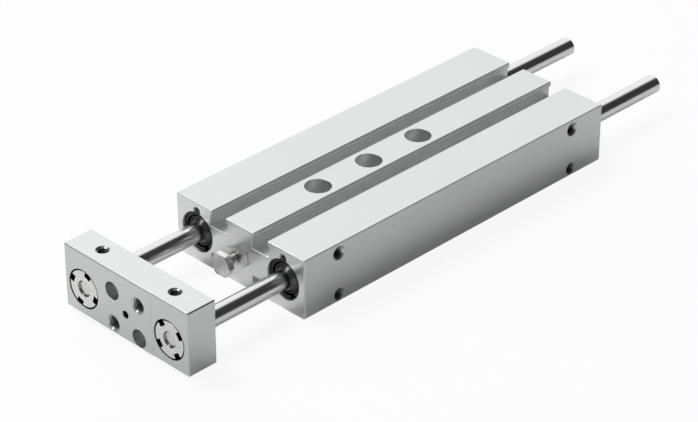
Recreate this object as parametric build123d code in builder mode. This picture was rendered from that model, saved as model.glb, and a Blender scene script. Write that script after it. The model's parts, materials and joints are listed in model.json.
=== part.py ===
from build123d import *
from math import cos, radians, sin
import os

# Double piston cylinder with through rods. Millimetres.
# +Z is up, the yoke is at -Y, and the origin is the middle mounting hole on the underside.

os.makedirs("parts", exist_ok=True)

# Working values shared by many pieces
stroke = 50.0
rest_extension = 25.0
rod_pitch = 36.5
axis_height = 10.0
rod_diameter = 6.0
piston_bore = 10.0

# Clearances, all on the radius unless the name says otherwise
running_clearance = 0.03
seal_clearance = 0.05
seat_clearance = 0.02
piston_clearance = 0.10
end_clearance = 0.25

# How close a selected edge's place or radius has to be
match_tolerance = 0.01

# Housing extrusion
housing_width = 54.0
housing_height = 20.0
bottom_edge_radius = 0.8
top_edge_radius = 0.3
end_edge_chamfer = 0.2

# T-slots, two in the top and two in the underside
slot_offset = 8.8
slot_opening = 5.8
slot_depth = 5.35
slot_lip = 1.6
slot_undercut = 0.7
slot_floor_radius = 0.15
slot_mouth_radius = 0.3

# Bearing cartridges, one in each end of each bore
cartridge_depth = 26.5
flange_bore = 13.2
flange_bore_depth = 8.0
collar_radius = 5.25
collar_nose_radius = 4.55
collar_nose_depth = 1.1
bush_outer_radius = 4.3
rod_seal_length = 3.0
rod_seal_wall = 3.0
rod_passage_clearance = 0.3
wiper_length = 2.6
wiper_nose_depth = 0.35
wiper_rim_radius = 3.45
wiper_cone_length = 0.9
wiper_lip_radius = 3.6
seal_lip_relief = 0.3
o_ring_section = 1.2
o_ring_depth = 5.0

# Retaining rings, their grooves, and the notch that lets a tool in
ring_depth = 0.85
ring_thickness = 1.0
ring_outer_radius = 7.0
ring_inner_radius = 5.3
ring_gap_angle = 24.0
ring_gap_direction = -57.0
groove_clearance = 0.05
notch_radius = 1.45
notch_height = 7.1

# Pistons
piston_length = 19.5
cushion_length = 3.0
cushion_radius = 4.4
piston_seal_width = 2.2
piston_seal_inset = 1.6
piston_groove_radius = 3.9
magnet_length = 4.0
magnet_radius = 4.6

# Mounting holes through the middle rib
mounting_pitch = 21.3
front_mounting_inset = 31.9
mounting_bore = 5.3
counterbore_diameter = 8.3
counterbore_depth = 6.0

# Tapped holes, drawn at the nominal thread diameter
m4_radius = 2.0
m5_radius = 2.5
thread_mouth = 0.3
side_thread_inset = 13.9
side_thread_height = 9.7
side_thread_pitch = 14.0
side_thread_depth = 5.5
port_depth = 3.5
port_inset = 0.9
passage_radius = 0.9

# Stop screw and its lock nut
stop_projection = 7.8
stop_clearance = 0.4
hex_across_flats = 7.0
stop_head_height = 2.1
stop_screw_length = 16.0
stop_hole_depth = 16.0
lock_nut_height = 2.2
hex_bevel = 0.35
thread_end_chamfer = 0.5

# Yoke plate and the slotted nuts that hold it
yoke_width = 52.4
yoke_height = 21.0
yoke_thickness = 10.3
yoke_bottom = 1.15
yoke_edge_chamfer = 0.3
pad_width = 22.5
pad_height = 0.3
face_pattern_height = 9.85
face_pattern_width = 11.0
face_pattern_rise = 10.9
plain_hole_radius = 2.85
centre_hole_radius = 1.25
centre_hole_depth = 5.0
top_thread_pitch = 30.8
top_thread_depth = 5.5
nut_diameter = 12.1
nut_thickness = 3.0
nut_recess = 0.4
nut_pocket_clearance = 0.2
nut_notch_width = 2.2
nut_notch_depth = 1.5
nut_bore_chamfer = 0.35
left_nut_turn = -21.0
right_nut_turn = 36.0
rod_tip_diameter = 5.6
rod_tip_seat = 2.0
rod_tip_chamfer = 0.3
rod_tip_recess = 0.1
rod_end_chamfer = 0.6
rear_projection_extended = 11.6

# Lengths and places that follow from the values above
piston_assembly = piston_length + 2 * cushion_length
chamber_length = stroke + piston_assembly + 2 * end_clearance
housing_length = chamber_length + 2 * cartridge_depth
front_y = -(front_mounting_inset + mounting_pitch)
rear_y = front_y + housing_length
rod_radius = rod_diameter / 2
bore_radius = piston_bore / 2
bush_bore_radius = rod_radius + running_clearance
flange_radius = flange_bore / 2 - seat_clearance
cartridge_recess = ring_depth + ring_thickness + groove_clearance
spigot_radius = bore_radius - seat_clearance
bush_start = wiper_nose_depth + wiper_length
seal_pocket_end = cartridge_depth - rod_seal_wall
bush_end = seal_pocket_end - rod_seal_length
yoke_back_y = front_y - stop_projection - stop_clearance - rest_extension
yoke_front_y = yoke_back_y - yoke_thickness
nut_front_y = yoke_front_y + nut_recess
nut_back_y = nut_front_y + nut_thickness
rod_shoulder_y = nut_back_y + rod_tip_seat
rod_rear_y = rear_y + rear_projection_extended + stroke - rest_extension
piston_start_y = front_y + cartridge_depth + end_clearance + stroke - rest_extension + cushion_length
port_places = (front_y + cartridge_depth + port_inset, rear_y - cartridge_depth - port_inset)

sides = {"left": -rod_pitch / 2, "right": rod_pitch / 2}
ends = {"front": (front_y, 1), "rear": (rear_y, -1)}
nut_turns = {"left": left_nut_turn, "right": right_nut_turn}


def across(y):
    """Plane across the cylinder at y, seen from the yoke: local x is +X and local y is +Z."""
    return Plane(origin=(0, y, 0), x_dir=(1, 0, 0), z_dir=(0, -1, 0))


def bore_section(x, start_y, inward=1, direction=90):
    """Half plane through a bore's axis: local x runs inward from start_y, local y is the radius.

    direction is the angle of the half plane about the axis, from +X towards +Z.
    """
    turn = radians(direction)
    normal = (inward * sin(turn), 0, -inward * cos(turn))
    return Plane(origin=(x, start_y, axis_height), x_dir=(0, inward, 0), z_dir=normal)


def bore_axis(x):
    """Axis of the bore whose centre is at x."""
    return Axis((x, 0, axis_height), (0, 1, 0))


def corners_at(profile, height):
    """Corners of an open sketch that lie at a height in it."""
    lowest, highest = height - match_tolerance, height + match_tolerance
    return profile.vertices().filter_by_position(Axis.Y, lowest, highest)


def turned(x, section, outline, mode=Mode.ADD, arc=360):
    """Revolve an outline of (along, radius) points about the bore at x."""
    with BuildSketch(section) as profile:
        with BuildLine():
            Polyline(*outline, close=True)
        make_face()
    revolve(profile.sketch, axis=bore_axis(x), revolution_arc=arc, mode=mode)


def sleeve(x, section, start, length, inner, outer, mode=Mode.ADD, arc=360):
    """Plain ring about the bore at x, from start over length, between two radii."""
    finish = start + length
    outline = [(start, inner), (start, outer), (finish, outer), (finish, inner)]
    turned(x, section, outline, mode, arc)


def hexagon(y, height, turn):
    """Hexagonal prism from y towards -Y on the middle axis, both ends bevelled to a cone."""
    flat_radius = hex_across_flats / 2
    corner_radius = flat_radius / cos(radians(30))
    with BuildSketch(across(y)) as hexagon_profile:
        with Locations((0, axis_height)):
            RegularPolygon(flat_radius, 6, major_radius=False, rotation=turn)
    extrude(hexagon_profile.sketch, amount=height)
    bevelled = [
        (0, 0),
        (0, flat_radius),
        (hex_bevel, corner_radius),
        (height - hex_bevel, corner_radius),
        (height, flat_radius),
        (height, 0),
    ]
    turned(0, bore_section(0, y, -1), bevelled, Mode.INTERSECT)


def save(piece, name):
    """Label a finished piece and write its file."""
    piece.part.label = name
    export_step(piece.part, f"parts/{name}.step")


# Housing: an extrusion with a T-slot each side of its middle rib, above and below
with BuildPart() as housing:
    with BuildSketch(across(front_y)) as housing_profile:
        with Locations((0, housing_height / 2)):
            Rectangle(housing_width, housing_height)
        fillet(housing_profile.vertices().group_by(Axis.Y)[0], bottom_edge_radius)
        fillet(housing_profile.vertices().group_by(Axis.Y)[-1], top_edge_radius)
        room_width = slot_opening + 2 * slot_undercut
        room_depth = slot_depth - slot_lip
        for x in (-slot_offset, slot_offset):
            for edge_z, inward in ((0, 1), (housing_height, -1)):
                with Locations((x, edge_z + inward * slot_depth / 2)):
                    Rectangle(slot_opening, slot_depth, mode=Mode.SUBTRACT)
                with Locations((x, edge_z + inward * (slot_lip + room_depth / 2))):
                    Rectangle(room_width, room_depth, mode=Mode.SUBTRACT)
        lower_floors = corners_at(housing_profile, slot_depth)
        upper_floors = corners_at(housing_profile, housing_height - slot_depth)
        fillet(lower_floors + upper_floors, slot_floor_radius)
        lower_mouths = corners_at(housing_profile, 0)
        upper_mouths = corners_at(housing_profile, housing_height)
        mouths = [
            corner
            for corner in lower_mouths + upper_mouths
            if abs(abs(corner.X) - slot_offset) < slot_opening / 2 + match_tolerance
        ]
        fillet(mouths, slot_mouth_radius)
    extrude(amount=-housing_length)
    end_faces = housing.faces().filter_by(Axis.Y)
    chamfer([edge for face in end_faces for edge in face.edges()], end_edge_chamfer)

    # Piston bores, with a cartridge seat, a ring groove and a tool notch at each end
    for x in sides.values():
        sleeve(x, bore_section(x, front_y), 0, housing_length, 0, bore_radius, Mode.SUBTRACT)
        for end_y, inward in ends.values():
            section = bore_section(x, end_y, inward)
            sleeve(x, section, 0, flange_bore_depth, 0, flange_bore / 2, Mode.SUBTRACT)
            groove_start = ring_depth - groove_clearance
            groove_width = ring_thickness + 2 * groove_clearance
            groove_radius = ring_outer_radius + groove_clearance
            sleeve(x, section, groove_start, groove_width, 0, groove_radius, Mode.SUBTRACT)
            with BuildSketch(across(end_y)):
                with Locations((x, axis_height + notch_height)):
                    Circle(notch_radius)
            extrude(amount=-inward * cartridge_recess, mode=Mode.SUBTRACT)

    # Mounting holes with counterbores, down the middle rib
    with Locations(Plane.XY.offset(housing_height)):
        with GridLocations(1, mounting_pitch, 1, 3):
            CounterBoreHole(mounting_bore / 2, counterbore_diameter / 2, counterbore_depth)

    # Tapped holes in the right side
    middle_y = (front_y + rear_y) / 2
    right_face = Plane((housing_width / 2, middle_y, side_thread_height), (0, 1, 0), (1, 0, 0))
    with BuildSketch(right_face):
        with GridLocations(housing_length - 2 * side_thread_inset, side_thread_pitch, 2, 2):
            Circle(m4_radius)
    extrude(amount=-side_thread_depth, mode=Mode.SUBTRACT)

    # Supply ports in the left side, each with a cross passage that joins the two chambers
    for port_y in port_places:
        left_face = Plane((-housing_width / 2, port_y, axis_height), (0, -1, 0), (-1, 0, 0))
        with BuildSketch(left_face):
            Circle(m5_radius)
        extrude(amount=-port_depth, mode=Mode.SUBTRACT)
        with BuildSketch(left_face):
            Circle(passage_radius)
        extrude(amount=-(housing_width + rod_pitch) / 2, mode=Mode.SUBTRACT)

    across_faces = housing.faces().filter_by(Axis.X).sort_by(Axis.X)
    side_holes = across_faces[0].inner_wires() + across_faces[-1].inner_wires()
    chamfer([edge for wire in side_holes for edge in wire.edges()], thread_mouth)

    # Tapped hole for the stop screw
    with BuildSketch(across(front_y)):
        with Locations((0, axis_height)):
            Circle(m4_radius + running_clearance)
    extrude(amount=-stop_hole_depth, mode=Mode.SUBTRACT)
save(housing, "housing")


# Lock nut, tight against the housing, with a corner up
with BuildPart() as lock_nut:
    hexagon(front_y, lock_nut_height, 30)
    nut_bore = m4_radius + running_clearance
    sleeve(0, bore_section(0, front_y, -1), 0, lock_nut_height, 0, nut_bore, Mode.SUBTRACT)
save(lock_nut, "lock_nut")


# Stop screw, with a flat of its head up
with BuildPart() as stop_screw:
    head_back_y = front_y - stop_projection + stop_head_height
    hexagon(head_back_y, stop_head_height, 0)
    shank = [
        (0, 0),
        (0, m4_radius),
        (stop_screw_length - thread_end_chamfer, m4_radius),
        (stop_screw_length, m4_radius - thread_end_chamfer),
        (stop_screw_length, 0),
    ]
    turned(0, bore_section(0, head_back_y), shank)
save(stop_screw, "stop_screw")


# Bearing cartridges and what they hold, at each end of each bore
for end, (end_y, inward) in ends.items():
    for side, x in sides.items():
        section = bore_section(x, end_y, inward)
        place = f"{end}_{side}"

        with BuildPart() as retaining_ring:
            gap_start = ring_gap_direction - ring_gap_angle / 2
            split_section = bore_section(x, end_y, inward, gap_start)
            ring_wall = (ring_inner_radius, ring_outer_radius)
            sleeve(x, split_section, ring_depth, ring_thickness, *ring_wall, arc=360 - ring_gap_angle)
        save(retaining_ring, f"{place}_retaining_ring")

        with BuildPart() as cartridge:
            groove_floor = flange_radius - o_ring_section
            groove_end = o_ring_depth + o_ring_section + 2 * groove_clearance
            pocket_radius = bush_outer_radius + seat_clearance
            passage = rod_radius + rod_passage_clearance
            cartridge_outline = [
                (collar_nose_depth, pocket_radius),
                (collar_nose_depth, collar_nose_radius),
                (cartridge_recess, collar_radius),
                (cartridge_recess, flange_radius),
                (o_ring_depth, flange_radius),
                (o_ring_depth, groove_floor),
                (groove_end, groove_floor),
                (groove_end, flange_radius),
                (flange_bore_depth, flange_radius),
                (flange_bore_depth, spigot_radius),
                (cartridge_depth, spigot_radius),
                (cartridge_depth, passage),
                (seal_pocket_end, passage),
                (seal_pocket_end, pocket_radius),
            ]
            turned(x, section, cartridge_outline)
        save(cartridge, f"{place}_cartridge")

        with BuildPart() as o_ring:
            o_ring_inner = flange_radius - o_ring_section + seat_clearance
            sleeve(x, section, o_ring_depth + groove_clearance, o_ring_section, o_ring_inner, flange_radius)
        save(o_ring, f"{place}_o_ring")

        with BuildPart() as wiper_case:
            cone_end = wiper_nose_depth + wiper_cone_length
            case_wall = (wiper_lip_radius, bush_outer_radius)
            sleeve(x, section, cone_end, bush_start - cone_end, *case_wall)
        save(wiper_case, f"{place}_wiper_case")

        with BuildPart() as wiper_lip:
            lip_inner = rod_radius + seal_clearance
            lip_outer = wiper_lip_radius - seat_clearance
            lip_outline = [
                (wiper_nose_depth, lip_inner),
                (wiper_nose_depth, wiper_rim_radius),
                (cone_end, bush_outer_radius),
                (cone_end, lip_outer),
                (bush_start, lip_outer),
                (bush_start, lip_inner + seal_lip_relief),
                (cone_end, lip_inner + seal_lip_relief),
            ]
            turned(x, section, lip_outline)
        save(wiper_lip, f"{place}_wiper_lip")

        with BuildPart() as bearing_bush:
            sleeve(x, section, bush_start, bush_end - bush_start, bush_bore_radius, bush_outer_radius)
        save(bearing_bush, f"{place}_bearing_bush")

        with BuildPart() as rod_seal:
            seal_inner = rod_radius + seal_clearance
            seal_back = bush_end + rod_seal_length / 2
            seal_outline = [
                (bush_end, seal_inner + seal_lip_relief),
                (bush_end, bush_outer_radius),
                (seal_pocket_end, bush_outer_radius),
                (seal_pocket_end, bush_outer_radius - seal_lip_relief),
                (seal_back, (seal_inner + bush_outer_radius) / 2),
                (seal_pocket_end, seal_inner),
                (seal_back, seal_inner + seal_lip_relief),
            ]
            turned(x, section, seal_outline)
        save(rod_seal, f"{place}_rod_seal")


# Piston rods, each in one piece from the yoke to its free rear end
for side, x in sides.items():
    with BuildPart() as piston_rod:
        rod_tip_y = nut_front_y + rod_tip_recess
        rod_length = rod_rear_y - rod_tip_y
        shoulder = rod_shoulder_y - rod_tip_y
        rod_outline = [
            (0, 0),
            (0, rod_tip_diameter / 2 - rod_tip_chamfer),
            (rod_tip_chamfer, rod_tip_diameter / 2),
            (shoulder, rod_tip_diameter / 2),
            (shoulder, rod_radius),
            (rod_length - rod_end_chamfer, rod_radius),
            (rod_length, rod_radius - rod_end_chamfer),
            (rod_length, 0),
        ]
        turned(x, bore_section(x, rod_tip_y), rod_outline)
    save(piston_rod, f"{side}_piston_rod")


# Pistons, each with two seals, a magnet ring and a rubber cushion at each end
for side, x in sides.items():
    section = bore_section(x, piston_start_y)
    piston_radius = bore_radius - piston_clearance
    piston_inner = rod_radius + seat_clearance
    ring_floor = piston_groove_radius + seat_clearance
    seal_starts = {
        "front": piston_seal_inset,
        "rear": piston_length - piston_seal_inset - piston_seal_width,
    }
    magnet_start = (piston_length - magnet_length) / 2

    with BuildPart() as piston:
        sleeve(x, section, 0, piston_length, piston_inner, piston_radius)
        groove_wall = (piston_groove_radius, bore_radius)
        for groove_start in seal_starts.values():
            sleeve(x, section, groove_start, piston_seal_width, *groove_wall, Mode.SUBTRACT)
        sleeve(x, section, magnet_start, magnet_length, *groove_wall, Mode.SUBTRACT)
    save(piston, f"{side}_piston")

    with BuildPart() as magnet_ring:
        length = magnet_length - 2 * seat_clearance
        sleeve(x, section, magnet_start + seat_clearance, length, ring_floor, magnet_radius)
    save(magnet_ring, f"{side}_magnet_ring")

    for end, seal_start in seal_starts.items():
        with BuildPart() as piston_seal:
            start = seal_start + seat_clearance
            finish = seal_start + piston_seal_width - seat_clearance
            lip_radius = bore_radius - seal_clearance
            seal_outline = [
                (start, ring_floor),
                (start, lip_radius - seal_lip_relief),
                ((start + finish) / 2, lip_radius),
                (finish, lip_radius - seal_lip_relief),
                (finish, ring_floor),
            ]
            turned(x, section, seal_outline)
        save(piston_seal, f"{side}_{end}_piston_seal")

    cushion_starts = {"front": -cushion_length, "rear": piston_length}
    for end, cushion_start in cushion_starts.items():
        with BuildPart() as cushion:
            sleeve(x, section, cushion_start, cushion_length, piston_inner, cushion_radius)
        save(cushion, f"{side}_{end}_cushion")


# Yoke plate: the rods are drawn up to a step in it by the slotted nuts in its front pockets
with BuildPart() as yoke_plate:
    with BuildSketch(across(yoke_back_y)):
        with Locations((0, yoke_bottom + yoke_height / 2)):
            Rectangle(yoke_width, yoke_height)
    extrude(amount=yoke_thickness)
    chamfer(yoke_plate.edges(), yoke_edge_chamfer)
    with BuildSketch(across(yoke_front_y)) as pad:
        with Locations((0, yoke_bottom + yoke_height / 2)):
            Rectangle(pad_width, yoke_height - 2 * yoke_edge_chamfer)
    extrude(amount=pad_height)

    for x in sides.values():
        section = bore_section(x, yoke_back_y, -1)
        pocket_radius = nut_diameter / 2 + nut_pocket_clearance
        pocket_depth = nut_recess + nut_thickness
        rod_seat = yoke_back_y - rod_shoulder_y
        sleeve(x, section, 0, rod_seat, 0, rod_radius + seat_clearance, Mode.SUBTRACT)
        sleeve(x, section, 0, yoke_thickness, 0, rod_tip_diameter / 2 + seat_clearance, Mode.SUBTRACT)
        sleeve(x, section, yoke_thickness - pocket_depth, pocket_depth, 0, pocket_radius, Mode.SUBTRACT)

    # Two plain and two tapped holes on opposite corners of a square, round a small middle hole
    pad_front = across(yoke_front_y - pad_height)
    hole_depth = yoke_thickness + pad_height
    rise = face_pattern_rise / 2
    reach = face_pattern_width / 2
    with BuildSketch(pad_front):
        with Locations((-reach, face_pattern_height + rise), (reach, face_pattern_height - rise)):
            Circle(plain_hole_radius)
        with Locations((reach, face_pattern_height + rise), (-reach, face_pattern_height - rise)):
            Circle(m5_radius)
    extrude(amount=-hole_depth, mode=Mode.SUBTRACT)
    pad_face = yoke_plate.faces().filter_by(Axis.Y).sort_by(Axis.Y)[0]
    thread_rims = [
        edge
        for edge in pad_face.edges().filter_by(GeomType.CIRCLE)
        if abs(edge.radius - m5_radius) < match_tolerance
    ]
    chamfer(thread_rims, thread_mouth)
    with BuildSketch(pad_front):
        with Locations((0, face_pattern_height)):
            Circle(centre_hole_radius)
    extrude(amount=-centre_hole_depth, mode=Mode.SUBTRACT)

    # Tapped holes in the top edge
    top_y = yoke_back_y - yoke_thickness / 2
    with BuildSketch(Plane.XY.offset(yoke_bottom + yoke_height)):
        with Locations((0, top_y)):
            with GridLocations(top_thread_pitch, 1, 2, 1):
                Circle(m4_radius)
    extrude(amount=-top_thread_depth, mode=Mode.SUBTRACT)
    top_face = yoke_plate.faces().filter_by(Axis.Z).sort_by(Axis.Z)[-1]
    chamfer([edge for wire in top_face.inner_wires() for edge in wire.edges()], thread_mouth)
save(yoke_plate, "yoke_plate")


# Slotted round nuts on the rod tips
for side, x in sides.items():
    with BuildPart() as rod_nut:
        section = bore_section(x, nut_back_y, -1)
        tip_radius = rod_tip_diameter / 2 + seat_clearance
        nut_outline = [
            (0, tip_radius),
            (0, nut_diameter / 2),
            (nut_thickness, nut_diameter / 2),
            (nut_thickness, tip_radius + nut_bore_chamfer),
            (nut_thickness - nut_bore_chamfer, tip_radius),
        ]
        turned(x, section, nut_outline)
        with BuildSketch(across(nut_back_y)):
            with Locations((x, axis_height)):
                with PolarLocations(nut_diameter / 2, 4, start_angle=nut_turns[side]):
                    Rectangle(2 * nut_notch_depth, nut_notch_width)
        extrude(amount=nut_thickness, mode=Mode.SUBTRACT)
    save(rod_nut, f"{side}_rod_nut")
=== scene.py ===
# %% [markdown]
# A double piston cylinder is mostly plain machined metal, so its look comes from three things.
# They are true edges, believable surface finishes and the fine thread forms in its tapped holes.
# The solids already hold every size, so this lesson loads them as a fixed frame.
# It gives each piece its finish and models again only what is worth finer detail: the threads,
# which the solids leave out, the stop screw, the yoke plate and its two slotted nuts.

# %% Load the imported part
import json
from math import cos, pi, radians, sin

import bmesh
import bpy
from mathutils import Matrix, Vector


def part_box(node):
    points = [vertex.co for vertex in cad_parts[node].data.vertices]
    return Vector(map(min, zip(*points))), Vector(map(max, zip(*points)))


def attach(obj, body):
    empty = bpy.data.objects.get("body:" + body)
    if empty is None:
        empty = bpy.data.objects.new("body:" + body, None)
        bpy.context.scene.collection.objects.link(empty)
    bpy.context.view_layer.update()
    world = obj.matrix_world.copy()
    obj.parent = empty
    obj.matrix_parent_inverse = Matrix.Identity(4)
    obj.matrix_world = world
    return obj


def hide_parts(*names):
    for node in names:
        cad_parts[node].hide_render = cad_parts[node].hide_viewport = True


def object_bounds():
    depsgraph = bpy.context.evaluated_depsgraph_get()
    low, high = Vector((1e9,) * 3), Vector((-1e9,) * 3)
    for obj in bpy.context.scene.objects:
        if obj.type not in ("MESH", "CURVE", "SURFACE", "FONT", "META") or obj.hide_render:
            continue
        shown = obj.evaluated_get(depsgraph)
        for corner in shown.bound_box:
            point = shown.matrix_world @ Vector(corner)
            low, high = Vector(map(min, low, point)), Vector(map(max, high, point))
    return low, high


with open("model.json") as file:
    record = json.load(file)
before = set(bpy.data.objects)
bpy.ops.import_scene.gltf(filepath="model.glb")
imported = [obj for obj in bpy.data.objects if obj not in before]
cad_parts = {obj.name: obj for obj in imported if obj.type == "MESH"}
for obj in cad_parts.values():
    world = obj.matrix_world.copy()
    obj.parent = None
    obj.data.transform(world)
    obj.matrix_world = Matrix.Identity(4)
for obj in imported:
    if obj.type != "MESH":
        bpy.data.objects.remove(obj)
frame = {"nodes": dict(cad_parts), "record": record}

cad_low, cad_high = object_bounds()
nodes = frame["nodes"]
mounts = {mount["name"]: mount for mount in frame["record"]["mounts"]}
slot_of = {part["node"]: part["material_slot"] for part in frame["record"]["subparts"]}
MM = 0.001
nut_low, nut_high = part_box("right_rod_nut")
rod_axis = (nut_low + nut_high) / 2
print("loaded", len(nodes), "nodes, overall size in mm", [round(v / MM, 1) for v in cad_high - cad_low])

# %% [markdown]
# The camera stands where the photographer's stood, to the right of the yoke and well above it.
# Its three axes are written out, because a camera matched to a photograph is a measured thing.
# A long lens keeps the parallel edges nearly parallel, as they are in the picture.

# %% Camera
camera_place = Vector((501.274, -507.795, 437.638)) * MM
camera_right = Vector((0.70578962, 0.70842149, 0.0))
camera_up = Vector((-0.36903550, 0.36766449, 0.85360156))
camera_back = camera_right.cross(camera_up)
sensor_mm, lens_mm = 36.0, 141.99

camera_data = bpy.data.cameras.new("camera")
camera_data.sensor_width = sensor_mm
camera_data.lens = lens_mm
camera_data.clip_start, camera_data.clip_end = 0.01, 20.0
camera = bpy.data.objects.new("camera", camera_data)
bpy.context.scene.collection.objects.link(camera)
axes = Matrix((camera_right, camera_up, camera_back)).transposed().to_4x4()
camera.matrix_world = Matrix.Translation(camera_place) @ axes
bpy.context.scene.camera = camera
bpy.context.scene.view_settings.view_transform = "Standard"
print("camera", [round(v, 3) for v in camera.location], "lens", lens_mm)

# %% [markdown]
# A material is built from nodes. These helpers set one socket or add one small sum,
# which keeps each finish below short enough to read at a glance.

# %% Node helpers


def plug(tree, socket, value):
    """Link an output to a socket, or write a plain value on it."""
    if isinstance(value, bpy.types.NodeSocket):
        tree.links.new(value, socket)
    else:
        socket.default_value = value


def fresh_tree(owner):
    """Empty node tree of a material or a world."""
    owner.use_nodes = True
    owner.node_tree.nodes.clear()
    return owner.node_tree


def math_node(tree, operation, *values):
    """A maths node on numbers or outputs."""
    node = tree.nodes.new("ShaderNodeMath")
    node.operation = operation
    for socket, value in zip(node.inputs, values):
        plug(tree, socket, value)
    return node.outputs[0]


def rescale(tree, value, low, high, to_low, to_high):
    """Map a value from one range to another with soft ends."""
    node = tree.nodes.new("ShaderNodeMapRange")
    node.interpolation_type = "SMOOTHSTEP"
    for socket, number in zip(node.inputs, (value, low, high, to_low, to_high)):
        plug(tree, socket, number)
    return node.outputs[0]


# %% [markdown]
# A studio is a large soft light, a pale sweep to stand on and something dark beside the metal.
# Bright metal shows its surroundings, so without the dark side a polished rod looks like chalk.
# Here one sky holds it all: a bright cap behind the cylinder on the left, which the upper faces
# show, a dim room, and a black side behind it on the right, which draws the rods' dark band.
# A small window at the front leaves the glint on the black wiper lips. The camera sees none of
# this, only the white that a catalogue picture has behind the product.

# %% Surroundings
cap_direction = Vector((-0.66, 0.53, 0.53)).normalized()
dark_direction = Vector((0.78, 0.62, 0.0)).normalized()
window_direction = Vector((-0.265, -0.623, 0.73)).normalized()
CAP_LIGHT, ROOM_LIGHT, DARK_LIGHT, WINDOW_LIGHT = 1.25, 0.25, 0.045, 6.0
CAMERA_SKY = 1.0
# Soft edge of each area, as the cosines of the angles where it starts and where it is full
CAP_EDGE, DARK_EDGE, WINDOW_EDGE = (0.66, 0.90), (0.05, 0.45), (0.985, 0.992)
HORIZON_FADE = 0.03


def share_towards(tree, direction, aim, outside, inside):
    """1 where a direction points at the aim, falling to 0. Both limits are cosines."""
    facing = tree.nodes.new("ShaderNodeVectorMath")
    facing.operation = "DOT_PRODUCT"
    plug(tree, facing.inputs[0], direction)
    plug(tree, facing.inputs[1], aim)
    return rescale(tree, facing.outputs["Value"], outside, inside, 0.0, 1.0)


world = bpy.data.worlds.new("studio")
bpy.context.scene.world = world
sky = fresh_tree(world)
direction = sky.nodes.new("ShaderNodeTexCoord").outputs["Generated"]
height = sky.nodes.new("ShaderNodeSeparateXYZ")
plug(sky, height.inputs[0], direction)
above_floor = rescale(sky, height.outputs["Z"], 0.0, HORIZON_FADE, 0.0, 1.0)
dark_share = share_towards(sky, direction, dark_direction, *DARK_EDGE)
dark_share = math_node(sky, "MULTIPLY", dark_share, above_floor)
cap_share = share_towards(sky, direction, cap_direction, *CAP_EDGE)
room = rescale(sky, dark_share, 0.0, 1.0, ROOM_LIGHT, DARK_LIGHT)
level = rescale(sky, cap_share, 0.0, 1.0, room, CAP_LIGHT)
window_share = share_towards(sky, direction, window_direction, *WINDOW_EDGE)
level = rescale(sky, window_share, 0.0, 1.0, level, WINDOW_LIGHT)
seen_directly = sky.nodes.new("ShaderNodeLightPath").outputs["Is Camera Ray"]
level = rescale(sky, seen_directly, 0.0, 1.0, level, CAMERA_SKY)
background = sky.nodes.new("ShaderNodeBackground")
plug(sky, background.inputs["Color"], level)
sky_output = sky.nodes.new("ShaderNodeOutputWorld")
plug(sky, sky_output.inputs["Surface"], background.outputs[0])
print("sky levels: cap", CAP_LIGHT, "room", ROOM_LIGHT, "dark side", DARK_LIGHT, "window", WINDOW_LIGHT)

# %% [markdown]
# The floor is a wide pale sweep that touches the underside of the housing, where the cylinder rests.
# Catalogue pictures have a floor that is nearly pure white. Most of what the camera sees here is
# therefore a plain white, and the rest is paper that takes the shadow. Reflections get only a
# little of that white, so the faces that mirror the floor stay darker than the upper ones.

# %% Floor
FLOOR_REACH = 6.0
FLOOR_GAP = 0.02 * MM
FLOOR_COLOR = (0.93, 0.93, 0.93, 1)
CAMERA_WHITE, REFLECTED_WHITE = 0.91, 0.08

bpy.ops.object.select_all(action="DESELECT")
bpy.ops.mesh.primitive_plane_add(size=2 * FLOOR_REACH, location=(0, 0, cad_low.z - FLOOR_GAP))
floor = bpy.context.object
floor.name = "floor"
floor_material = bpy.data.materials.new("floor_paper")
tree = fresh_tree(floor_material)
paper = tree.nodes.new("ShaderNodeBsdfDiffuse")
paper.inputs["Color"].default_value = FLOOR_COLOR
white = tree.nodes.new("ShaderNodeEmission")
ray = tree.nodes.new("ShaderNodeLightPath")
seen = math_node(tree, "MULTIPLY", ray.outputs["Is Camera Ray"], CAMERA_WHITE)
for other in ("Is Glossy Ray", "Is Transmission Ray"):
    seen = math_node(tree, "MULTIPLY_ADD", ray.outputs[other], REFLECTED_WHITE, seen)
surface = tree.nodes.new("ShaderNodeMixShader")
plug(tree, surface.inputs["Fac"], seen)
plug(tree, surface.inputs[1], paper.outputs[0])
plug(tree, surface.inputs[2], white.outputs[0])
plug(tree, tree.nodes.new("ShaderNodeOutputMaterial").inputs["Surface"], surface.outputs[0])
floor.data.materials.append(floor_material)
print("floor", 2 * FLOOR_REACH, "m wide")

# %% [markdown]
# The main lamp is a soft disk to the upper left. It gives the shadows their direction, and it is
# small enough to leave bright streaks on the rods, the screw and the black wiper lips.

# %% Main lamp
LAMP_SIZE, LAMP_WATTS, LAMP_REACH = 0.35, 2.8, 0.80
lamp_place = Vector((-0.45, -0.19, 0.87)) * LAMP_REACH

lamp_data = bpy.data.lights.new("main_lamp", "AREA")
lamp_data.shape = "DISK"
lamp_data.size = LAMP_SIZE
lamp_data.energy = LAMP_WATTS
lamp = bpy.data.objects.new("main_lamp", lamp_data)
bpy.context.scene.collection.objects.link(lamp)
lamp.location = lamp_place
lamp.visible_camera = False
lamp.rotation_mode = "QUATERNION"
lamp.rotation_quaternion = lamp_place.to_track_quat("Z", "Y")
print("lamp at", round(lamp_place.length, 2), "m")

# %% [markdown]
# No metal surface is one flat colour. Each finish below starts from the same few ingredients:
# a pattern on the object's own coordinates, a mask for what lies deep in a corner, where painted
# shade darkens the colour, and a mask for the sharp edges, where handling rubs the surface bright
# and some finishes also paint a highlight or a dark line.

# %% Ingredients of a finish


finishes = {}
OPENNESS_SAMPLES, ROUNDING_SAMPLES = 12, 8
# Cosines between the rounded and the true normal: where an edge starts and where it is full
EDGE_START, EDGE_FULL = 0.99, 0.80


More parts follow.
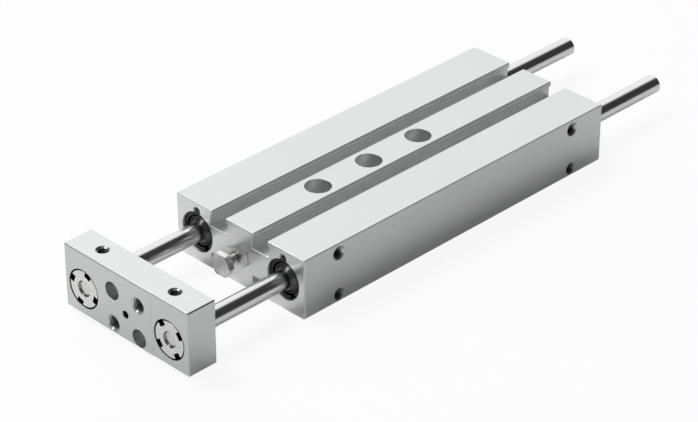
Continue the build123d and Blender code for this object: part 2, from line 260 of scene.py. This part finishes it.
def begin(name):
    """New material with a Principled shader. Returns its tree and the shader."""
    finishes[name] = bpy.data.materials.new(name)
    tree = fresh_tree(finishes[name])
    shader = tree.nodes.new("ShaderNodeBsdfPrincipled")
    plug(tree, tree.nodes.new("ShaderNodeOutputMaterial").inputs["Surface"], shader.outputs[0])
    return tree, shader


def noise(tree, scale, detail=3.0, stretch=(1, 1, 1)):
    """Noise on the object's coordinates, scale in marks per metre, stretched along an axis."""
    place = tree.nodes.new("ShaderNodeTexCoord").outputs["Object"]
    mapping = tree.nodes.new("ShaderNodeMapping")
    plug(tree, mapping.inputs["Vector"], place)
    mapping.inputs["Scale"].default_value = stretch
    texture = tree.nodes.new("ShaderNodeTexNoise")
    texture.inputs["Scale"].default_value = scale
    texture.inputs["Detail"].default_value = detail
    plug(tree, texture.inputs["Vector"], mapping.outputs[0])
    return texture.outputs["Fac"]


def facing_along(tree, axis):
    """How squarely the surface faces one of the object's axes, from 0 to 1."""
    parts = tree.nodes.new("ShaderNodeSeparateXYZ")
    plug(tree, parts.inputs[0], tree.nodes.new("ShaderNodeTexCoord").outputs["Normal"])
    return math_node(tree, "ABSOLUTE", parts.outputs[axis])


def openness(tree, distance_mm):
    """1 in the open, 0 deep in a corner or a hole."""
    hidden = tree.nodes.new("ShaderNodeAmbientOcclusion")
    hidden.samples = OPENNESS_SAMPLES
    hidden.inputs["Distance"].default_value = distance_mm * MM
    return hidden.outputs["AO"]


def from_rod_axes(tree):
    """Distance in metres from the nearer one of the two rod axes, which run along Y."""
    last = tree.nodes.new("ShaderNodeTexCoord").outputs["Object"]
    steps = (("ABSOLUTE", None), ("SUBTRACT", (rod_axis.x, 0, rod_axis.z)),
             ("MULTIPLY", (1, 0, 1)), ("LENGTH", None))
    for operation, value in steps:
        node = tree.nodes.new("ShaderNodeVectorMath")
        node.operation = operation
        plug(tree, node.inputs[0], last)
        if value:
            node.inputs[1].default_value = value
        last = node.outputs["Value" if operation == "LENGTH" else "Vector"]
    return last


def rounded_normal(tree, radius_mm):
    """The surface's direction as if its sharp edges were broken by a small radius."""
    rounded = tree.nodes.new("ShaderNodeBevel")
    rounded.samples = ROUNDING_SAMPLES
    rounded.inputs["Radius"].default_value = radius_mm * MM
    return rounded.outputs[0]


def edges(tree, radius_mm):
    """1 on sharp edges, 0 on flat faces, by how far a rounded normal turns from the true one."""
    turned = tree.nodes.new("ShaderNodeVectorMath")
    turned.operation = "DOT_PRODUCT"
    plug(tree, turned.inputs[0], rounded_normal(tree, radius_mm))
    plug(tree, turned.inputs[1], tree.nodes.new("ShaderNodeNewGeometry").outputs["True Normal"])
    return rescale(tree, turned.outputs["Value"], EDGE_START, EDGE_FULL, 0.0, 1.0)


def blend_color(tree, share, color_a, color_b):
    """Mix two colours, or an output and a colour."""
    mix = tree.nodes.new("ShaderNodeMix")
    mix.data_type = "RGBA"
    plug(tree, mix.inputs[0], share)
    for socket, color in ((mix.inputs[6], color_a), (mix.inputs[7], color_b)):
        plug(tree, socket, color if isinstance(color, bpy.types.NodeSocket) else (*color, 1))
    return mix.outputs[2]


def darkened(tree, metal, share, strength, dark):
    """Painted shade: a colour that turns dark by a share, at most as far as the strength, between 0 and 1."""
    return blend_color(tree, math_node(tree, "MULTIPLY", share, strength), metal, (dark,) * 3)


def relief(tree, shader, height, depth_mm, edge_mm=0.0):
    """Bump from a height between 0 and 1, as deep as given, over edges broken by a radius."""
    bump = tree.nodes.new("ShaderNodeBump")
    if edge_mm:
        plug(tree, bump.inputs["Normal"], rounded_normal(tree, edge_mm))
    bump.inputs["Distance"].default_value = depth_mm * MM
    plug(tree, bump.inputs["Height"], height)
    plug(tree, shader.inputs["Normal"], bump.outputs[0])


# %% [markdown]
# The housing and the yoke are clear anodised aluminium. Extruding leaves faint lines along the
# length, and the ends are milled, so they carry fine marks across instead and look brighter.
# The anodic layer makes the metal a little greyer and duller than bare aluminium.
# Two more things set the pieces apart, and both are painted light and shade. The housing's edges
# are lighter, partly as wear and partly as a painted highlight, but its long edges get a painted dark
# line, and deep in its slots a pale, nearly matte colour is painted light. The plate's edges get a
# painted dark line and its corners and holes painted shade.

# %% Anodised aluminium
ALUMINIUM_DARK, ALUMINIUM_LIGHT = (0.585, 0.595, 0.593), (0.655, 0.662, 0.660)
MILLED_END = (0.80, 0.805, 0.80)
RECESS_MM, METAL_LIMITS = 5.0, (0.30, 0.90)
EDGE_MM, LONG_EDGE_MM, BROKEN_EDGE_MM = 0.14, 0.45, 0.20
# A painted dark line along the long edges, standing in for a dark reflection
LONG_EDGE_PAINTED_DARK = 0.15
TOP_ROUGHNESS, SIDE_ROUGHNESS, END_ROUGHNESS, LONG_EDGE_ROUGHNESS = 0.36, 0.46, 0.30, 0.18
LINE_ROUGHNESS = 0.06


def anodised_aluminium(name, painted_edge_tone, end_share, painted_recess_tone, painted_recess_share, painted_recess_limits, deep_metal):
    """Clear anodised aluminium, with painted highlight and shade in given tones on its edges and deep in a
    recess.
    """
    tree, shader = begin(name)
    plug(tree, shader.inputs["Metallic"],
         rescale(tree, openness(tree, RECESS_MM), *METAL_LIMITS, deep_metal, 1.0))
    ends = rescale(tree, facing_along(tree, 1), 0.90, 0.98, 0.0, 1.0)
    drawn = noise(tree, 900, 4.0, (1.0, 0.012, 1.0))
    milled = noise(tree, 1400, 3.0, (0.02, 1.0, 1.0))
    grain = noise(tree, 9000, 2.0)
    cloud = noise(tree, 45, 3.0)
    lines = rescale(tree, ends, 0.0, 1.0, drawn, milled)
    clouds = math_node(tree, "MULTIPLY", cloud, 0.45)
    tone = math_node(tree, "ADD", math_node(tree, "MULTIPLY", lines, 0.55), clouds)
    metal = blend_color(tree, tone, ALUMINIUM_DARK, ALUMINIUM_LIGHT)
    metal = blend_color(tree, math_node(tree, "MULTIPLY", ends, end_share), metal, MILLED_END)
    # Sharp edges take the painted edge tone: on the housing partly wear and partly a painted highlight, on
    # the plate a painted dark line.
    metal = blend_color(tree, edges(tree, EDGE_MM), metal, (painted_edge_tone,) * 3)
    # The long edges get a painted dark line, standing in for the dark reflection a rounded edge shows.
    lengthways = tree.nodes.new("ShaderNodeSeparateXYZ")
    plug(tree, lengthways.inputs[0], rounded_normal(tree, LONG_EDGE_MM))
    towards_ends = math_node(tree, "ABSOLUTE", lengthways.outputs["Y"])
    across_only = rescale(tree, towards_ends, 0.05, 0.25, 1.0, 0.0)
    long_edge = math_node(tree, "MULTIPLY", edges(tree, LONG_EDGE_MM), across_only)
    metal = blend_color(tree, long_edge, metal, (LONG_EDGE_PAINTED_DARK,) * 3)
    # What lies deep in a recess is painted: pale painted light in the housing's slots, dark painted shade in
    # the plate's corners and holes.
    deep = rescale(tree, openness(tree, RECESS_MM), *painted_recess_limits, painted_recess_share, 0.0)
    plug(tree, shader.inputs["Base Color"], blend_color(tree, deep, metal, (painted_recess_tone,) * 3))
    sides = rescale(tree, facing_along(tree, 0), 0.90, 0.98, TOP_ROUGHNESS, SIDE_ROUGHNESS)
    rough = rescale(tree, ends, 0.0, 1.0, sides, END_ROUGHNESS)
    rough = rescale(tree, long_edge, 0.0, 1.0, rough, LONG_EDGE_ROUGHNESS)
    middle = math_node(tree, "ADD", rough, -LINE_ROUGHNESS / 2)
    plug(tree, shader.inputs["Roughness"], math_node(tree, "MULTIPLY_ADD", lines, LINE_ROUGHNESS, middle))
    surface = math_node(tree, "MULTIPLY_ADD", lines, 0.5, math_node(tree, "MULTIPLY", grain, 0.5))
    relief(tree, shader, surface, 0.004, BROKEN_EDGE_MM)


anodised_aluminium("anodised_aluminium", painted_edge_tone=0.74, end_share=0.5, painted_recess_tone=0.96,
                   painted_recess_share=1.0, painted_recess_limits=(0.40, 0.90), deep_metal=0.15)
anodised_aluminium("milled_plate", painted_edge_tone=0.22, end_share=0.0, painted_recess_tone=0.05,
                   painted_recess_share=0.90, painted_recess_limits=(0.08, 0.45), deep_metal=1.0)
print("anodised aluminium: lines along the length, milled ends")

# %% [markdown]
# Turned parts carry fine rings round their own axis. The inside threads are cut in the same
# metal as the housing, and their colour darkens with depth, which is painted shade.

# %% Turned aluminium


def turned_aluminium():
    """Bright turned metal, with painted shade that darkens it deep in a hole."""
    tree, shader = begin("turned_aluminium")
    shader.inputs["Metallic"].default_value = 1.0
    marks = noise(tree, 2500, 2.0)
    metal = blend_color(tree, marks, (0.58, 0.585, 0.59), (0.68, 0.685, 0.69))
    # Painted shade: the colour darkens deep in the hole.
    corner = rescale(tree, openness(tree, 4.0), 0.35, 0.95, 1.0, 0.0)
    plug(tree, shader.inputs["Base Color"], darkened(tree, metal, corner, 0.72, 0.05))
    plug(tree, shader.inputs["Roughness"], rescale(tree, marks, 0.2, 0.8, 0.22, 0.34))
    relief(tree, shader, marks, 0.003)


turned_aluminium()
print("turned aluminium: darker with depth")

# %% [markdown]
# The rods are hard-chromed and ground between centres. Grinding leaves marks round the rod that
# are far too fine to see, but they widen every reflection a little along its length.

# %% Chromed rods


def polished_steel():
    """Hard chrome, with the fine marks of grinding between centres."""
    tree, shader = begin("polished_steel")
    shader.inputs["Metallic"].default_value = 1.0
    marks = noise(tree, 3000, 3.0, (0.02, 1.0, 0.02))
    cloud = noise(tree, 60, 2.0, (1.0, 0.3, 1.0))
    sheen = blend_color(tree, cloud, (0.60, 0.60, 0.605), (0.72, 0.72, 0.725))
    # Painted shade: the colour darkens where the rod runs into the parts round it.
    corner = rescale(tree, openness(tree, 2.0), 0.20, 0.80, 1.0, 0.0)
    plug(tree, shader.inputs["Base Color"], darkened(tree, sheen, corner, 0.7, 0.04))
    plug(tree, shader.inputs["Roughness"], math_node(tree, "MULTIPLY_ADD", marks, 0.10, 0.17))
    relief(tree, shader, marks, 0.0006)


polished_steel()
print("chromed rods: grinding marks round the rod")

# %% [markdown]
# The nuts and the screw are zinc plated. Plated steel is slightly mottled, and its colour is a
# little warmer than aluminium. Its corners are darkened as painted shade. In the round nuts, painted
# shade also darkens the slots and every wall that doesn't face the front, and a thin painted dark
# ring round each rod's tip stands in for the shade in the gap there.

# %% Zinc plated steel
# Painted dark ring round each rod's tip, standing in for shade in the gap: radius, core, reach and strength
SHADE_RING_MM, SHADE_RING_CORE_MM, SHADE_RING_REACH_MM = 2.36, 0.12, 0.36
SHADE_RING_STRENGTH = 0.80


def zinc_steel(name, dark_slots):
    """Plated steel with painted shade in its corners. In a slotted nut, painted shade also darkens every wall
    that doesn't face the front.
    """
    tree, shader = begin(name)
    shader.inputs["Metallic"].default_value = 1.0
    mottle = noise(tree, 1300, 4.0)
    fine = noise(tree, 6000, 2.0)
    tone = math_node(tree, "MULTIPLY_ADD", mottle, 0.7, math_node(tree, "MULTIPLY", fine, 0.3))
    metal = blend_color(tree, tone, (0.66, 0.665, 0.66), (0.80, 0.80, 0.79))
    metal = blend_color(tree, edges(tree, 0.06), metal, (0.88, 0.88, 0.87))
    # Painted shade: the colour darkens in corners.
    corner = rescale(tree, openness(tree, 1.2), 0.15, 0.75, 1.0, 0.0)
    if dark_slots:
        # Painted shade on every wall that doesn't face the front and in the recesses.
        walls = rescale(tree, facing_along(tree, 1), 0.30, 0.80, 1.0, 0.0)
        recess = rescale(tree, openness(tree, 2.5), 0.55, 0.95, 1.0, 0.0)
        corner = math_node(tree, "MAXIMUM", corner, math_node(tree, "MAXIMUM", walls, recess))
        # A thin painted dark ring round each rod's tip, standing in for the shade in the gap there.
        beyond_ring = math_node(tree, "SUBTRACT", from_rod_axes(tree), SHADE_RING_MM * MM)
        off_ring = math_node(tree, "ABSOLUTE", beyond_ring)
        painted_shade_ring = rescale(tree, off_ring, SHADE_RING_CORE_MM * MM, SHADE_RING_REACH_MM * MM, SHADE_RING_STRENGTH, 0.0)
        corner = math_node(tree, "MAXIMUM", corner, painted_shade_ring)
    plug(tree, shader.inputs["Base Color"], darkened(tree, metal, corner, 0.9, 0.02))
    plug(tree, shader.inputs["Roughness"], rescale(tree, mottle, 0.3, 0.7, 0.25, 0.31))
    relief(tree, shader, tone, 0.0006)


zinc_steel("zinc_steel", dark_slots=False)
zinc_steel("slotted_nut", dark_slots=True)
print("zinc plated steel: mottled, dark slots")

# %% [markdown]
# The parts that guide and seal the rods are nearly all black, and differ by their gloss: an
# oiled ring, a moulded bearing cartridge and a rubber lip that the rod keeps oiled and shiny.

# %% Black parts


def black_finish(name, dark, light, gloss, dull, mark_scale, depth_mm, metallic, oily=0.5):
    """A black surface whose tone and gloss vary a little from place to place."""
    tree, shader = begin(name)
    shader.inputs["Specular IOR Level"].default_value = oily
    shader.inputs["Metallic"].default_value = metallic
    marks = noise(tree, mark_scale, 3.0)
    tone = blend_color(tree, marks, (dark,) * 3, (light,) * 3)
    worn = math_node(tree, "MULTIPLY", edges(tree, 0.08), 0.25)
    plug(tree, shader.inputs["Base Color"], blend_color(tree, worn, tone, (0.22, 0.22, 0.22)))
    plug(tree, shader.inputs["Roughness"], rescale(tree, marks, 0.3, 0.7, gloss, dull))
    relief(tree, shader, marks, depth_mm)


# Dark and light tone, least and most roughness, marks per metre and their depth, metallic share
black_finish("black_steel", 0.020, 0.040, 0.24, 0.40, 2500, 0.003, 0.8)
black_finish("black_polymer", 0.018, 0.028, 0.26, 0.36, 4000, 0.002, 0.0)
black_finish("rubber", 0.014, 0.020, 0.16, 0.24, 3000, 0.001, 0.0, oily=1.0)
black_finish("magnet", 0.06, 0.10, 0.45, 0.60, 5000, 0.004, 0.2)
print("black parts: ring, cartridge, rubber and magnet")

# %% [markdown]
# The wiper's steel case and the bronze bush are hidden behind the lip, and only a cut-away
# would show them. They still get their own finish, because someone may open the model.

# %% Inner metals


def inner_metal(name, dark, light, gloss, dull):
    """Turned metal inside the bearings, with rings round the rod's direction."""
    tree, shader = begin(name)
    shader.inputs["Metallic"].default_value = 1.0
    rings = noise(tree, 4000, 2.0, (0.05, 1.0, 0.05))
    plug(tree, shader.inputs["Base Color"], blend_color(tree, rings, dark, light))
    plug(tree, shader.inputs["Roughness"], rescale(tree, rings, 0.3, 0.7, gloss, dull))
    relief(tree, shader, rings, 0.002)


inner_metal("stainless_steel", (0.58, 0.58, 0.58), (0.72, 0.72, 0.72), 0.15, 0.25)
inner_metal("bearing_bronze", (0.55, 0.38, 0.20), (0.72, 0.54, 0.31), 0.32, 0.48)
print("inner metals: steel case and bronze bush")

# %% Dress the solids
for name, node in nodes.items():
    finish = "slotted_nut" if "rod_nut" in name else slot_of[name]
    node.data.materials.clear()
    node.data.materials.append(finishes[finish])
print("dressed", len(nodes), "solids")

# %% [markdown]
# The solids leave every thread out: a tapped hole is a plain hole at the thread's full diameter.
# A real M4 thread is a ridge with a 0.7 mm pitch, and light catching it is what says "tapped".
# A bump texture can't do that, because the ridges show as teeth against the light in the mouth.
# So each thread is a mesh. It is modelled in millimetres at the origin, where numbers are easy
# to read, and only then shrunk to metres and carried to its hole.

# %% Modelling helpers


def take(piece):
    """Make one object the only selected and the active one."""
    bpy.ops.object.select_all(action="DESELECT")
    piece.select_set(True)
    bpy.context.view_layer.objects.active = piece


def primitive(add, **settings):
    """Add a mesh primitive and write its place, turn and size into its points."""
    bpy.ops.object.select_all(action="DESELECT")
    add(**settings)
    bpy.ops.object.transform_apply(location=True, rotation=True, scale=True)
    return bpy.context.object


def with_modifier(piece, kind, **settings):
    """Add a modifier and apply it."""
    modifier = piece.modifiers.new(kind.lower(), kind)
    for name, value in settings.items():
        setattr(modifier, name, value)
    take(piece)
    bpy.ops.object.modifier_apply(modifier=modifier.name)


def combine(piece, tool, operation):
    """Cut, join or intersect two closed meshes and drop the tool."""
    with_modifier(piece, "BOOLEAN", operation=operation, object=tool, solver="EXACT")
    bpy.data.meshes.remove(tool.data)


def select_faces(piece, wanted):
    """In edit mode, select just the faces that pass a test on their centre and normal."""
    mesh = bmesh.from_edit_mesh(piece.data)
    for face in mesh.faces:
        face.select_set(wanted(face.calc_center_median(), face.normal))
    mesh.select_flush_mode()
    bmesh.update_edit_mesh(piece.data)


# %% [markdown]
# A thread is drawn as by hand: a plane is merged to one point, and extruding that point four
# times draws one pitch of the profile. The Screw modifier turns it into a helix, the turns are
# merged into one skin, and two bisects trim and close the ends.

# %% One thread, as a solid
THREAD_STEPS = 48
MERGE_MM = 0.001
# Height of the ridge, width of a flank and width of a flat, as shares of the pitch
RIDGE_SHARE, FLANK_SHARE, FLAT_SHARE = 0.6, 0.4, 0.1


def thread_solid(radius, pitch, length):
    """Closed outside thread on Z, from 0 down to -length, with its crests at radius."""
    ridge, flank, flat = RIDGE_SHARE * pitch, FLANK_SHARE * pitch, FLAT_SHARE * pitch
    thread = primitive(bpy.ops.mesh.primitive_plane_add, size=0.1, location=(radius - ridge, 0, 2 * pitch))
    bpy.ops.object.mode_set(mode="EDIT")
    bpy.ops.mesh.merge(type="CENTER")
    profile = ((ridge, -flank), (0, -flat), (-ridge, -flank), (0, -flat))
    for outward, along in profile:
        bpy.ops.mesh.extrude_region_move(TRANSFORM_OT_translate={"value": (outward, 0, along)})
    bpy.ops.object.mode_set(mode="OBJECT")
    turns = int(length / pitch) + 5
    with_modifier(thread, "SCREW", axis="Z", screw_offset=-pitch, iterations=turns,
                  steps=THREAD_STEPS, render_steps=THREAD_STEPS)
    bpy.ops.object.mode_set(mode="EDIT")
    bpy.ops.mesh.select_all(action="SELECT")
    bpy.ops.mesh.remove_doubles(threshold=MERGE_MM)
    for height, upper in ((0, True), (-length, False)):
        bpy.ops.mesh.select_all(action="SELECT")
        bpy.ops.mesh.bisect(plane_co=(0, 0, height), plane_no=(0, 0, 1), use_fill=True,
                            clear_outer=upper, clear_inner=not upper, threshold=MERGE_MM)
    bpy.ops.mesh.select_all(action="SELECT")
    bpy.ops.mesh.normals_make_consistent(inside=False)
    bpy.ops.object.mode_set(mode="OBJECT")
    return thread


# %% [markdown]
# A tapped hole is then a thin sleeve that lines the plain hole: a cylinder with a thread cut out
# of it, and a cone cut out of its mouth, which is the countersink every tapped hole gets.

# %% A tapped sleeve
SLEEVE_GAP, ROOT_WALL = 0.01, 0.04
ROUND_SIDES = 96
CONE_SHARE = 0.8


def tapped_sleeve(radius, pitch, depth, mouth):
    """Lining of a tapped hole that starts at Z 0, with a countersink at its mouth."""
    outer = radius - SLEEVE_GAP
    sleeve = primitive(bpy.ops.mesh.primitive_cylinder_add, vertices=ROUND_SIDES, radius=outer,
                       depth=depth, location=(0, 0, -depth / 2))
    tap = thread_solid(outer - ROOT_WALL, pitch, depth + 2 * pitch)
    tap.location.z = pitch
    combine(sleeve, tap, "DIFFERENCE")
    cone_height = CONE_SHARE * radius
    cone = primitive(bpy.ops.mesh.primitive_cone_add, vertices=ROUND_SIDES, depth=cone_height,
                     radius1=radius - cone_height + mouth, radius2=radius + mouth,
                     location=(0, 0, -cone_height / 2))
    combine(sleeve, cone, "DIFFERENCE")
    return sleeve


# %% [markdown]
# The holes are found in the record, which names every mount with its place, axis and sizes.
# One sleeve is modelled for each kind of hole, and every hole gets its own copy.

# %% Tapped holes
M4_RADIUS, M5_RADIUS = 2.0, 2.5
M4_PITCH, M5_PITCH = 0.7, 0.8
SMOOTH_BELOW_DEGREES = 15
WIDE_MOUTH, FINE_MOUTH = 0.3, 0.12
M4_DEPTH, PORT_DEPTH = 5.3, 3.3
plate_low, plate_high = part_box("yoke_plate")
plate_depth = (plate_high.y - plate_low.y) / MM


def along_axis(place, axis):
    """The move that carries Z and the origin of the bench to an axis and a place."""
    return Matrix.Translation(place) @ Vector(axis).to_track_quat("Z", "Y").to_matrix().to_4x4()


def seat(piece, move, name, body, slot, finish=None):
    """Carry a piece from the millimetre bench to its place, and give it its finish and its body."""
    piece.matrix_world = move @ Matrix.Scale(MM, 4)
    take(piece)
    bpy.ops.object.transform_apply(location=True, rotation=True, scale=True)
    bpy.ops.object.shade_smooth_by_angle(angle=radians(SMOOTH_BELOW_DEGREES))
    piece.name = name
    piece.data.name = name
    piece.data.materials.clear()
    piece.data.materials.append(finishes[finish or slot])
    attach(piece, body)


def spread(mount, along, across):
    """Centres of a mount's pattern, which has spacings along two directions, or a pitch circle."""
    dims, centre = mount["dims"], Vector(mount["pos_m"])
    steps = [Vector(along) * side * dims.get("spacing_x_mm", 0) / 2 * MM for side in (-1, 1)]
    rises = [Vector(across) * side * dims.get("spacing_y_mm", 0) / 2 * MM for side in (-1, 1)]
    if "pcd_mm" in dims:
        return [centre + Vector(along).normalized() * side * dims["pcd_mm"] / 2 * MM for side in (-1, 1)]
    if "spacing_y_mm" not in dims:
        rises = rises[:1]
    return [centre + step + rise for step in steps for rise in rises]


plate_diagonal = (11.0, 0, 10.9)  # from one tapped hole of the plate's face to the other
tapped = {
    "side_thread": ("right_side_threads", (0, 1, 0), (0, 0, 1), "cylinder"),
    "plate_top_thread": ("plate_top_threads", (1, 0, 0), (0, 1, 0), "carriage"),
    "plate_thread": ("plate_threads", plate_diagonal, (0, 1, 0), "carriage"),
    "front_port_thread": ("front_supply_port", None, None, "cylinder"),
    "rear_port_thread": ("rear_supply_port", None, None, "cylinder"),
}
sleeves = {
    "side_thread": tapped_sleeve(M4_RADIUS, M4_PITCH, M4_DEPTH, WIDE_MOUTH),
    "plate_top_thread": tapped_sleeve(M4_RADIUS, M4_PITCH, M4_DEPTH, FINE_MOUTH),
    "plate_thread": tapped_sleeve(M5_RADIUS, M5_PITCH, plate_depth, FINE_MOUTH),
    "front_port_thread": tapped_sleeve(M5_RADIUS, M5_PITCH, PORT_DEPTH, WIDE_MOUTH),
}
sleeves["rear_port_thread"] = sleeves["front_port_thread"]
for name, (mount_name, along, across, body) in tapped.items():
    mount = mounts[mount_name]
    axis = Vector(mount["axis"])
    if along:
        places = spread(mount, along, across)
    else:
        places = [Vector(mount["pos_m"]) * Vector((0, 1, 1)) + axis * cad_high.x]
    for number, place in enumerate(places, 1):
        lining = sleeves[name].copy()
        lining.data = sleeves[name].data.copy()
        bpy.context.scene.collection.objects.link(lining)
        seat(lining, along_axis(place, axis), f"{name}_{number}", body, "turned_aluminium")
    print(name, "x", len(places), "faces each", len(lining.data.polygons))
for bench_piece in set(sleeves.values()):
    bpy.data.meshes.remove(bench_piece.data)

# %% [markdown]
# The stop screw stands out of its lock nut, so its thread is in plain view. It is modelled whole:
# a hexagon whose corners are turned off at both faces, joined to a threaded shank.

# %% Stop screw
ACROSS_FLATS, HEAD_HEIGHT, HEAD_BEVEL = 7.0, 2.1, 0.13
SCREW_RADIUS = 1.97
TURNED_SIDES = 120
OVERLAP = 0.01

flat_radius = ACROSS_FLATS / 2
corner_radius = flat_radius / cos(radians(30))
head = primitive(bpy.ops.mesh.primitive_cylinder_add, vertices=6, radius=corner_radius,
                 depth=HEAD_HEIGHT, rotation=(0, 0, radians(30)), location=(0, 0, HEAD_HEIGHT / 2))
turning = primitive(bpy.ops.mesh.primitive_cylinder_add, vertices=TURNED_SIDES, radius=corner_radius,
                    depth=HEAD_HEIGHT - 2 * HEAD_BEVEL, location=(0, 0, HEAD_HEIGHT / 2))
bpy.ops.object.mode_set(mode="EDIT")
for side in (-1, 1):
    select_faces(turning, lambda centre, normal: normal.z * side > 0.9)
    bpy.ops.mesh.extrude_region_move(TRANSFORM_OT_translate={"value": (0, 0, side * HEAD_BEVEL)})
    bpy.ops.transform.resize(value=(flat_radius / corner_radius,) * 2 + (1,))
bpy.ops.object.mode_set(mode="OBJECT")
combine(head, turning, "INTERSECT")

screw_low, screw_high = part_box("stop_screw")
screw_axis_z = (screw_low.z + screw_high.z) / 2
shank_length = (screw_high.y - screw_low.y) / MM - HEAD_HEIGHT
shank = thread_solid(SCREW_RADIUS, M4_PITCH, shank_length)
shank.location.z = OVERLAP
combine(head, shank, "UNION")
head_back = Vector((0, screw_low.y + HEAD_HEIGHT * MM, screw_axis_z))
seat(head, along_axis(head_back, (0, -1, 0)), "threaded_stop_screw", "stop", "zinc_steel")
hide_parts("stop_screw")
print("stop screw faces", len(head.data.polygons), "thread length in mm", round(shank_length, 2))

# %% [markdown]
# The yoke plate is the piece nearest to the viewer, so its faces are worth a second, finer pass.
# The middle pad is skimmed only a tenth of a millimetre proud. Its ends are narrow slopes,
# and the broken edges along its top and bottom step forward with it.

# %% Yoke plate
PAD_HALF_WIDTH, PAD_STEP, EDGE_BREAK = 11.25, 0.1, 0.3
PAD_INSET, PAD_ROOT = 0.01, 1
OVERCUT, OVERRUN = 0.2, 1
POCKET_RADIUS, POCKET_FLOOR_Y = 6.3, -93.3
ROD_HOLE_RADIUS, PLAIN_HOLE_RADIUS = 3.02, 2.85
TOP_HOLE_DEPTH, CENTRING_DEPTH = 5.5, 5.0


def block(low, high, edge_break):
    """A box between two corners with all its edges broken."""
    low, high = Vector(low), Vector(high)
    box = primitive(bpy.ops.mesh.primitive_cube_add, size=1, location=(low + high) / 2, scale=high - low)
    bpy.ops.object.mode_set(mode="EDIT")
    bpy.ops.mesh.select_all(action="SELECT")
    bpy.ops.mesh.bevel(offset=edge_break, segments=1, affect="EDGES")
    bpy.ops.object.mode_set(mode="OBJECT")
    return box


def drill(piece, place, inward, radius, depth, mouth=0.0):
    """Cut a round hole from a place inward, maybe with a small countersink."""
    place, inward = Vector(place), Vector(inward)
    turn = inward.to_track_quat("Z", "Y").to_euler()
    tools = [(radius, radius, depth + OVERCUT)]
    if mouth:
        tools.append((radius + mouth + OVERCUT, radius - OVERCUT, mouth + 2 * OVERCUT))
    for start_radius, end_radius, length in tools:
        centre = place + inward * (length / 2 - OVERCUT)
        tool = primitive(bpy.ops.mesh.primitive_cone_add, vertices=ROUND_SIDES, radius1=start_radius,
                         radius2=end_radius, depth=length, location=centre, rotation=turn)
        combine(piece, tool, "DIFFERENCE")


low, high = plate_low / MM, plate_high / MM
face_y = low.y + PAD_STEP
plate = block((low.x, face_y, low.z), high, EDGE_BREAK)
skim = EDGE_BREAK - PAD_STEP
pad = block((-PAD_HALF_WIDTH - skim, low.y, low.z + PAD_INSET),
            (PAD_HALF_WIDTH + skim, high.y - PAD_ROOT, high.z - PAD_INSET), EDGE_BREAK)
combine(plate, pad, "UNION")
rod_x, rod_z = rod_axis.x / MM, rod_axis.z / MM
for x in (-rod_x, rod_x):
    drill(plate, (x, face_y, rod_z), (0, 1, 0), POCKET_RADIUS, POCKET_FLOOR_Y - face_y)
    drill(plate, (x, POCKET_FLOOR_Y, rod_z), (0, 1, 0), ROD_HOLE_RADIUS,
          high.y - POCKET_FLOOR_Y + OVERRUN)
plain_diagonal = (-plate_diagonal[0], 0, plate_diagonal[2])
for name, diagonal, radius, mouth in (("plate_plain_holes", plain_diagonal, PLAIN_HOLE_RADIUS, 0),
                                      ("plate_threads", plate_diagonal, M5_RADIUS, FINE_MOUTH)):
    for place in spread(mounts[name], diagonal, (0, 1, 0)):
        drill(plate, place / MM, (0, 1, 0), radius, high.y - low.y + OVERRUN, mouth)
for place in spread(mounts["plate_top_threads"], (1, 0, 0), (0, 1, 0)):
    drill(plate, place / MM, (0, 0, -1), M4_RADIUS, TOP_HOLE_DEPTH, FINE_MOUTH)
centring = mounts["plate_centring_hole"]
drill(plate, (0, low.y, centring["pos_m"][2] / MM), (0, 1, 0), centring["dims"]["r_mm"], CENTRING_DEPTH)
seat(plate, Matrix.Identity(4), "faced_yoke_plate", "carriage", slot_of["yoke_plate"], "milled_plate")
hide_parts("yoke_plate")
print("yoke plate faces", len(plate.data.polygons), "pad proud by", PAD_STEP, "mm")

# %% [markdown]
# Each slotted nut is a turned disk that nearly fills its pocket. Four slots for a pin wrench are
# cut from its rim, and a chamfer round its bore shows as a grey ring about the end of the rod.

# %% Slotted nuts
NUT_RADIUS, NUT_RECESS, NUT_BREAK = 5.85, 0.1, 0.1
BORE_RADIUS, LIP_RADIUS, LIP_DEPTH, LIP_MOUTH = 2.82, 2.1, 0.5, 0.5
NOTCH_WIDTH, NOTCH_DEPTH = 2.5, 1.6
NUT_SIDES = 144
nut_turns = {"left": -21.0, "right": 36.0}
front_y = face_y + NUT_RECESS
thickness = POCKET_FLOOR_Y - front_y

for side, x in (("left", -rod_x), ("right", rod_x)):
    middle = Vector((x, front_y + thickness / 2, rod_z))
    nut = primitive(bpy.ops.mesh.primitive_cylinder_add, vertices=NUT_SIDES, radius=NUT_RADIUS,
                    depth=thickness, rotation=(pi / 2, 0, 0), location=middle)
    bpy.ops.object.mode_set(mode="EDIT")
    select_faces(nut, lambda centre, normal: normal.y < -0.9)
    bpy.ops.mesh.bevel(offset=NUT_BREAK, segments=1, affect="EDGES")
    bpy.ops.object.mode_set(mode="OBJECT")
    drill(nut, (x, front_y, rod_z), (0, 1, 0), LIP_RADIUS, thickness + OVERRUN, LIP_MOUTH)
    drill(nut, (x, POCKET_FLOOR_Y, rod_z), (0, -1, 0), BORE_RADIUS, thickness - LIP_DEPTH)
    for quarter in range(4):
        angle = radians(nut_turns[side] + 90 * quarter)
        outward = Vector((cos(angle), 0, sin(angle)))
        cutter = primitive(bpy.ops.mesh.primitive_cube_add, size=1, location=middle + outward * NUT_RADIUS,
                           rotation=(0, -angle, 0), scale=(2 * NOTCH_DEPTH, thickness + OVERRUN, NOTCH_WIDTH))
        combine(nut, cutter, "DIFFERENCE")
    seat(nut, Matrix.Identity(4), f"{side}_slotted_nut", "carriage", "zinc_steel", "slotted_nut")
    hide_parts(f"{side}_rod_nut")
    print(side, "nut faces", len(nut.data.polygons))
